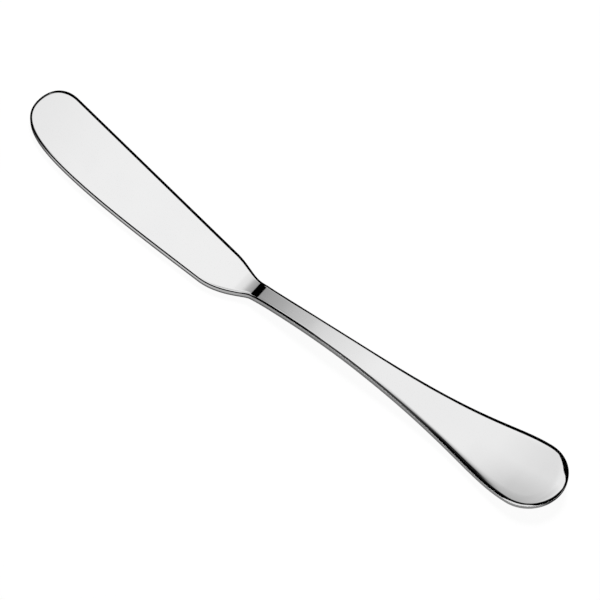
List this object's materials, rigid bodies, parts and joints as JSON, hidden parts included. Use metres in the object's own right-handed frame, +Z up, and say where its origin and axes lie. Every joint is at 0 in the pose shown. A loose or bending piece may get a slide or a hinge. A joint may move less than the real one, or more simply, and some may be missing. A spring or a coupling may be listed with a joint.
{
  "type": "butter knife",
  "caption": "Polished steel butter knife for spreading: flat blade with a broad round tip, set at a slight angle to an arched handle that flares to a round end.",
  "frame": {"origin": "centre of the knife's outline in plan, at the height of the table that it lies on", "axes": "+X along the handle towards its round end, +Y towards the side of the blade's spine, +Z up out of the upper face"},
  "size_m": [0.1702, 0.0258, 0.0046],
  "materials": {
    "blade_steel": "mirror polished stainless steel",
    "handle_steel": "mirror polished stainless steel"
  },
  "bodies": {
    "root": {"blade": "blade_steel", "handle": "handle_steel"}
  },
  "joints": []
}
